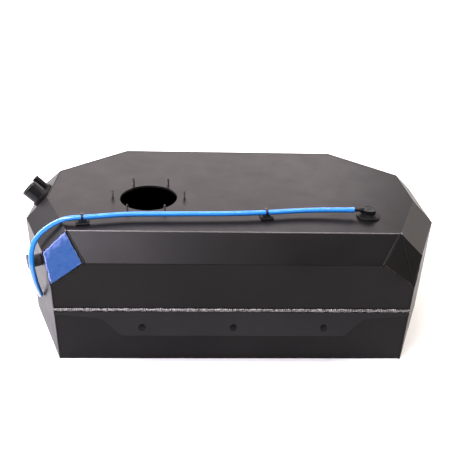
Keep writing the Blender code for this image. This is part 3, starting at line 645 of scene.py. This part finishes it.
# ---------------------------------------------------------------- filler and breather pipes (mm)
PIPE_AXIS = Vector((-1, 0, 1)).normalized()
PIPE_HIGH = 40.3            # the pipes' mouths above the bevel
PIPE_LOW = -2.0             # and their lower ends
FLANGE_TOP = 6.3
FILLER_RADII = (19.0, 17.0)
BREATHER_RADII = (8.0, 6.5)
MOUTH_PROFILE = [(0, -0.8), (0.4, -0.2), (0.9, 0)]      # of the bore's rounded edge, from the bore and mouth
MOUTH_FALL = 0.1            # of the mouth's outer edge below its inner one
LIP_PROUD = 0.9             # by which the rolled lip stands out
LIP_HEIGHT = 1.9            # half the lip's height
LIP_MIDDLE = 2.1            # of the lip below the mouth
LIP_STEPS = 8
FOOT_BEAD = 1.5             # radius of the weld bead at a pipe's foot
FOOT_BEAD_OUT = 0.6         # of its centre beyond the pipe
FOOT_BEAD_STEP = 0.8
FOOT_BEAD_RIPPLE = 0.16


def pipe_frame(node):
    """A frame on the pipe's axis, Z outwards, at the bevel's surface."""
    low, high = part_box(node)
    side = Vector((0, 1, 0))
    matrix = Matrix((side, PIPE_AXIS.cross(side), PIPE_AXIS)).transposed().to_4x4()
    matrix.translation = (low + high) / 2 - PIPE_AXIS * (PIPE_HIGH + PIPE_LOW) / 2 * MM
    return matrix


def make_pipe(node, radius, bore):
    """A pipe with a rolled lip at its mouth and a fillet weld at its foot."""
    matrix = pipe_frame(node)
    profile = [(bore, PIPE_LOW)] + [(bore + out, PIPE_HIGH + up) for out, up in MOUTH_PROFILE]
    profile.append((radius, PIPE_HIGH - MOUTH_FALL))
    for step in range(LIP_STEPS + 1):
        turn = pi * step / LIP_STEPS
        profile.append((radius + LIP_PROUD * sin(turn), PIPE_HIGH - LIP_MIDDLE + LIP_HEIGHT * cos(turn)))
    profile.append((radius, PIPE_LOW))
    place_piece(finish_bmesh(lathe(profile, matrix), node), f"{node}_tube", PIPE,
                replaces=[node], smooth_angle=50)
    make_foot_weld(f"{node}_weld", matrix @ Matrix.Translation((0, 0, FLANGE_TOP * MM)), radius)


def make_foot_weld(name, matrix, pipe_radius):
    """A rippled fillet weld round a pipe where it meets the flange."""
    radius = pipe_radius + FOOT_BEAD_OUT
    rings = []
    for step, angle in enumerate(turns_of(ceil(2 * pi * radius / FOOT_BEAD_STEP))):
        out = round_point(1.0, angle)
        size = FOOT_BEAD * (1 + FOOT_BEAD_RIPPLE * ripple_at(step))
        rings.append([matrix @ ((out * radius + (out * cos(turn) + UP * sin(turn)) * size) * MM)
                      for turn in turns_of(BEAD_SIDES)])
    place_piece(finish_bmesh(ring_surface(rings, closed=True), name), name, COAT,
                smooth_angle=70)


# ---------------------------------------------------------------- vent valve
# Sizes here are in mm, and heights are from the top plate's surface.
# Profiles are (radius, height) points. The housing's flange steps down from the cap to the plate,
# and its body hangs inside the tank; the cap has a raised rim round its top.
HOUSING_PROFILE = [(12.5, 8.0), (17.0, 8.0), (17.4, 7.7), (17.4, 6.9), (19.6, 6.6), (21.0, 6.6), (21.4, 6.3),
                   (21.6, 5.3), (23.6, 5.0), (25.0, 4.5), (25.5, 3.8), (25.5, 2.1), (15.5, 2.1),
                   (15.5, -40.0), (5.0, -40.0), (5.0, -38.0), (12.5, -38.0)]
CAP_PROFILE = [(15.6, 8.3), (15.6, 8.9), (15.3, 9.2), (15.3, 16.0), (15.5, 16.3), (15.5, 17.2), (15.1, 18.0),
               (14.3, 18.4), (12.6, 18.4), (12.2, 17.9), (11.6, 17.7)]
CAP_RIBS = 36
CAP_RIB_DEPTH = 0.9
CAP_RIB_HEIGHTS = (9.0, 17.4)           # the ribs' lower and upper ends
CAP_SIDES_PER_RIB = 4
CAP_SLOT = (12.0, 2.2, 1.0)             # length, width and height of the bar across the cap
CAP_SLOT_PLACE = (0, 0, 17.8)
CAP_SLOT_TURN = radians(25)
# The spout, measured along its own axis from the valve's centre: a collar, then a stem with barbs.
SPOUT_COLLAR = [(0.0, 11.0), (5.2, 11.0), (5.2, 19.2), (4.9, 19.5), (3.6, 19.6)]
SPOUT_END = [(3.0, 46.7), (1.5, 46.7), (1.5, 12.0), (0.0, 12.0)]
SPOUT_STEM = 3.6
BARB_RADIUS = 4.2
BARB_START = 22.5
BARB_PITCH = 4.0
BARB_RISE = 0.3             # length of a barb's steep side
BARB_LENGTH = 3.4
BARBS = 6
SPOUT_STEPS = 48


def make_valve():
    """The valve's stepped flange and body, and on it the ribbed cap with the hose's spout."""
    low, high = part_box("valve_housing")
    matrix = Matrix.Translation(((low.x + high.x) / 2, (low.y + high.y) / 2, TOP_Z))
    place_piece(finish_bmesh(lathe(HOUSING_PROFILE, matrix), "valve_body"), "valve_body",
                PLASTIC, replaces=["valve_housing"], smooth_angle=25)
    cap = cap_bmesh(matrix)
    add_bmesh(cap, spout_bmesh(matrix.translation))
    place_piece(finish_bmesh(cap, "valve_top"), "valve_top", PLASTIC,
                replaces=["valve_cap"], smooth_angle=25)


def cap_bmesh(matrix):
    """The cap, with ribs round its side and a bar across its top."""
    rings = []
    for radius, z in CAP_PROFILE:
        depth = CAP_RIB_DEPTH if CAP_RIB_HEIGHTS[0] < z < CAP_RIB_HEIGHTS[1] else 0.0
        ring = []
        for side, angle in enumerate(turns_of(CAP_RIBS * CAP_SIDES_PER_RIB)):
            cut = depth * (1 - cos(2 * pi * side / CAP_SIDES_PER_RIB)) / 2
            ring.append(matrix @ round_point((radius - cut) * MM, angle, z * MM))
        rings.append(ring)
    cap = ring_surface(rings)
    bar = bmesh.ops.create_cube(cap, size=1.0)["verts"]
    size = Matrix.Diagonal([side * MM for side in CAP_SLOT] + [1])
    place = Matrix.Translation([side * MM for side in CAP_SLOT_PLACE])
    bmesh.ops.transform(cap, verts=bar, matrix=matrix @ place @ Matrix.Rotation(CAP_SLOT_TURN, 4, "Z") @ size)
    return cap


def spout_bmesh(centre):
    """The barbed spout that the hose is pushed on, pointing to -X at the hose's height."""
    barbs = []
    for number in range(BARBS):
        root = BARB_START + BARB_PITCH * number
        barbs += [(SPOUT_STEM, root), (BARB_RADIUS, root + BARB_RISE), (SPOUT_STEM, root + BARB_LENGTH)]
    place = Matrix.Translation((centre.x, centre.y, HOSE_ROUTE[0][2]))
    return lathe(SPOUT_COLLAR + barbs + SPOUT_END, place @ Matrix.Rotation(-pi / 2, 4, "Y"), SPOUT_STEPS)


def add_bmesh(bm, other):
    """Add another bmesh's faces to a bmesh, and free the other."""
    mesh = bpy.data.meshes.new("part")
    other.to_mesh(mesh)
    other.free()
    bm.from_mesh(mesh)


# ---------------------------------------------------------------- small moulded parts
SMALL_PARTS = [("tie_mount_1", 0.45 * MM, "black_plastic", PLASTIC),
               ("tie_mount_2", 0.45 * MM, "black_plastic", PLASTIC),
               ("cable_tie_1", 0.25 * MM, "black_plastic", TIE),
               ("cable_tie_2", 0.25 * MM, "black_plastic", TIE),
               ("outlet_cap", 0.5 * MM, "black_rubber", RUBBER)]


def make_small_parts():
    """The CAD's small parts with their edges rounded."""
    for node, width, slot, material in SMALL_PARTS:
        bm = cad_bmesh(node)
        round_edges(bm, CUT_TURNS, width, segments=2)
        place_piece(finish_bmesh(bm, node), f"{node}_moulded", material, replaces=[node])


# ---------------------------------------------------------------- blue film on the left gusset
FILM_CELLS = 64
FILM_THICKNESS = 0.15 * MM
FILM_GAP = 0.1 * MM         # of its lowest point above the CAD film
FILM_RAGGED = 0.030         # how far its edges wander, as a share of its size
FILM_RAGGED_WAVES = (9, 34)             # coarse and fine waves of that wandering
FILM_RAGGED_FINE = 1.3                  # strength of the fine waves against the coarse
FILM_WRINKLE = 0.22 * MM
FILM_WRINKLE_WAVES = (60, 220)          # per metre
FILM_LIFT = 0.9 * MM        # by which its edges lift
FILM_LIFT_WAVES = 90        # per metre, along which the lift varies
FILM_LIFT_REACH = 1 / 14    # how far in from the edge, as a share of its size
FILM_HIGHLIGHT_REACH = 1 / 22    # the same for the painted highlight along its upper and left rims
FILM_HIGHLIGHT_RAGGED = 0.35     # unevenness of that painted highlight
FILM_HIGHLIGHT_WAVES = 260       # per metre
FILM_SHEEN = 0.3            # strength of the painted sheen over its upper left
FILM_SHEEN_REACH = 1 / 2.4
FILM_SHEEN_WAVES = 110      # per metre
FILM_CORNERS_APART = 20 * MM


def film_corners():
    """The film's upper, front, lower and rear corners."""
    bm = cad_bmesh("corner_film")
    places = [vert.co.copy() for vert in bm.verts]
    bm.free()
    top = max(places, key=lambda place: place.z)
    tip = min(places, key=lambda place: place.z)
    between = [place for place in places
               if min((place - top).length, (place - tip).length) > FILM_CORNERS_APART]
    front = max(between, key=lambda place: place.x)
    flank = min(places, key=lambda place: place.x)
    return top, front, tip, flank


def ragged(along, seed):
    """How far the film's edge wanders at a share of its length."""
    coarse, fine = (noise.noise(Vector((along * waves, seed + index, 0)))
                    for index, waves in enumerate(FILM_RAGGED_WAVES))
    return FILM_RAGGED * (coarse + FILM_RAGGED_FINE * fine)


def film_point(corners, normal, column, row):
    """A point of the film's grid, and how much painted highlight and sheen it carries there."""
    top, front, tip, flank = corners
    u, v = column / FILM_CELLS, row / FILM_CELLS
    u += ragged(v, 1) * (1 - u)
    v += ragged(u, 3)
    flat = (top * (1 - u) + front * u) * (1 - v) + (flank * (1 - u) + tip * u) * v
    rim = min(column, row, FILM_CELLS - column, FILM_CELLS - row) / FILM_CELLS
    lift = FILM_LIFT * max(0.0, 1 - rim / FILM_LIFT_REACH) ** 2 * (0.5 + noise.noise(flat * FILM_LIFT_WAVES))
    coarse, fine = (noise.noise(flat * waves) for waves in FILM_WRINKLE_WAVES)
    height = FILM_GAP + FILM_WRINKLE * (1 + coarse + 0.5 * fine) + max(0.0, lift)
    # painted highlight on the rims facing the light, and painted sheen over the upper-left part
    left = min(column, FILM_CELLS - row) / FILM_CELLS
    rim_highlight = 1 - left / FILM_HIGHLIGHT_REACH + FILM_HIGHLIGHT_RAGGED * noise.noise(flat * FILM_HIGHLIGHT_WAVES)
    uneven = 0.7 + noise.noise(flat * FILM_SHEEN_WAVES)
    painted_sheen = FILM_SHEEN * max(0.0, 1 - u / FILM_SHEEN_REACH) * uneven
    return flat + normal * height, max(0.0, painted_sheen, rim_highlight)


def make_film():
    """The film as a thin wrinkled sheet with ragged, lifted edges."""
    corners = film_corners()
    top, front, tip, _ = corners
    normal = (front - top).cross(tip - top).normalized()
    if normal.y > 0:
        normal = -normal
    bm = bmesh.new()
    # the edge layer carries the painted highlight and sheen
    painted_light_layer = bm.verts.layers.float.new("edge")
    grid = []
    for row in range(FILM_CELLS + 1):
        line = []
        for column in range(FILM_CELLS + 1):
            place, painted_light = film_point(corners, normal, column, row)
            vert = bm.verts.new(place)
            vert[painted_light_layer] = painted_light
            line.append(vert)
        grid.append(line)
    for near, far in zip(grid, grid[1:]):
        for index in range(FILM_CELLS):
            bm.faces.new((near[index], near[index + 1], far[index + 1], far[index]))
    film = place_piece(finish_bmesh(bm, "film"), "film_patch", FILM,
                       replaces=["corner_film"], smooth_angle=70)
    solid = film.modifiers.new("thickness", "SOLIDIFY")
    solid.thickness = FILM_THICKNESS
    solid.offset = 0


# ---------------------------------------------------------------- hose
def make_hose():
    """The hollow vent hose, stretched a little where it is pushed on the barb."""
    start = Vector(HOSE_ROUTE[0])
    lead = [start + Vector((HOSE_OVERLAP * (HOSE_OVERLAP_STEPS - step) / HOSE_OVERLAP_STEPS, 0, 0))
            for step in range(HOSE_OVERLAP_STEPS)]
    path = lead + smooth_route(HOSE_ROUTE, HOSE_SPACING)
    frames = path_frames(path)
    rings = []
    travelled = 0.0
    for index, matrix in enumerate(frames):
        if index:
            travelled += (matrix.translation - frames[index - 1].translation).length
        radius = HOSE_RADIUS + HOSE_STRETCH * max(0.0, 1 - travelled / HOSE_FLARE) ** 0.5
        rings.append([matrix @ round_point(radius, angle) for angle in turns_of(HOSE_SIDES)])
    for matrix in reversed(frames):
        rings.append([matrix @ round_point(HOSE_BORE, angle) for angle in turns_of(HOSE_SIDES)])
    hose = place_piece(finish_bmesh(ring_surface(rings, closed=True), "vent_hose"), "vent_hose",
                       HOSE, replaces=["breather_hose"], smooth_angle=50)


# ---------------------------------------------------------------- studio
FLOOR_SIZE = 40.0                       # m
FLOOR_GAP = 0.4 * MM                    # between the floor and the tank's underside
FLOOR_PAPER = (0.74, 0.74, 0.74)
SURROUND_STRENGTH = 0.55
WHITE = (1, 1, 1)
# Soft panels of light: name, place and target in m, width and height in m, power in W, colour.
PANELS = [("back_panel", (-0.6, 3.0, 2.2), (0, 0, 0.25), (4.2, 1.8), 84, (1.0, 0.84, 0.87)),
          ("floor_wash", (0, 5.0, 2.6), (0, 5.6, 0), (10, 4), 260, WHITE),
          ("top_panel", (-1.1, -1.2, 2.2), (-0.25, -0.2, 0.25), (1.4, 1.0), 90, (0.96, 0.89, 1.0)),
          ("right_panel", (2.4, 0.6, 1.5), (0.4, 0, 0.2), (1.4, 1.2), 80, (1.0, 0.86, 0.76)),
          ("left_panel", (-2.2, 0.7, 1.5), (-0.4, 0, 0.2), (1.4, 1.2), 75, (0.98, 0.90, 1.0)),
          ("hose_strip", (-0.3, -0.45, 1.9), (-0.3, -0.15, 0.3), (2.4, 0.18), 30, WHITE)]


def add_panel(name, place, target, size, power, colour):
    """A rectangular area light at a place, facing a target."""
    light = bpy.data.lights.new(name, "AREA")
    light.shape = "RECTANGLE"
    light.size, light.size_y = size
    light.energy = power
    light.color = colour
    obj = bpy.data.objects.new(name, light)
    obj.location = place
    obj.rotation_euler = (Vector(target) - Vector(place)).to_track_quat("-Z", "Y").to_euler()
    bpy.context.scene.collection.objects.link(obj)


def make_studio():
    """A plain pale floor, soft panels of light and an even pale surround."""
    bpy.ops.mesh.primitive_plane_add(size=FLOOR_SIZE, location=(0, 0, -FLOOR_GAP))
    floor = bpy.context.object
    floor.name = "floor"
    floor.data.materials.append(Surface("floor_paper", FLOOR_PAPER, 0.9, Specular_IOR_Level=0.0).material)
    world = bpy.data.worlds.new("surround")
    bpy.context.scene.world = world
    world.use_nodes = True
    background = world.node_tree.nodes["Background"]
    background.inputs["Color"].default_value = (*WHITE, 1)
    background.inputs["Strength"].default_value = SURROUND_STRENGTH
    for panel in PANELS:
        add_panel(*panel)
    bpy.context.scene.view_settings.view_transform = "Standard"


def make_camera():
    """The camera at the photograph's viewing angle."""
    data = bpy.data.cameras.new("camera")
    data.lens = CAMERA_LENS
    data.sensor_width = CAMERA_SENSOR
    camera = bpy.data.objects.new("camera", data)
    turn = Matrix.Rotation(-CAMERA_YAW, 4, "Z") @ Matrix.Rotation(pi / 2 - CAMERA_PITCH, 4, "X")
    camera.matrix_world = Matrix.Translation(CAMERA_PLACE) @ turn @ Matrix.Rotation(CAMERA_ROLL, 4, "Z")
    bpy.context.scene.collection.objects.link(camera)
    bpy.context.scene.camera = camera


# ---------------------------------------------------------------- the scene
dress_cad_nodes()
make_sheet_panels()
make_seams()
make_bracket_weld()
for stud in STUDS:
    make_stud(stud)
make_pipe("filler_pipe", *FILLER_RADII)
make_pipe("breather_pipe", *BREATHER_RADII)
make_valve()
make_small_parts()
make_film()
make_hose()
make_studio()
make_camera()
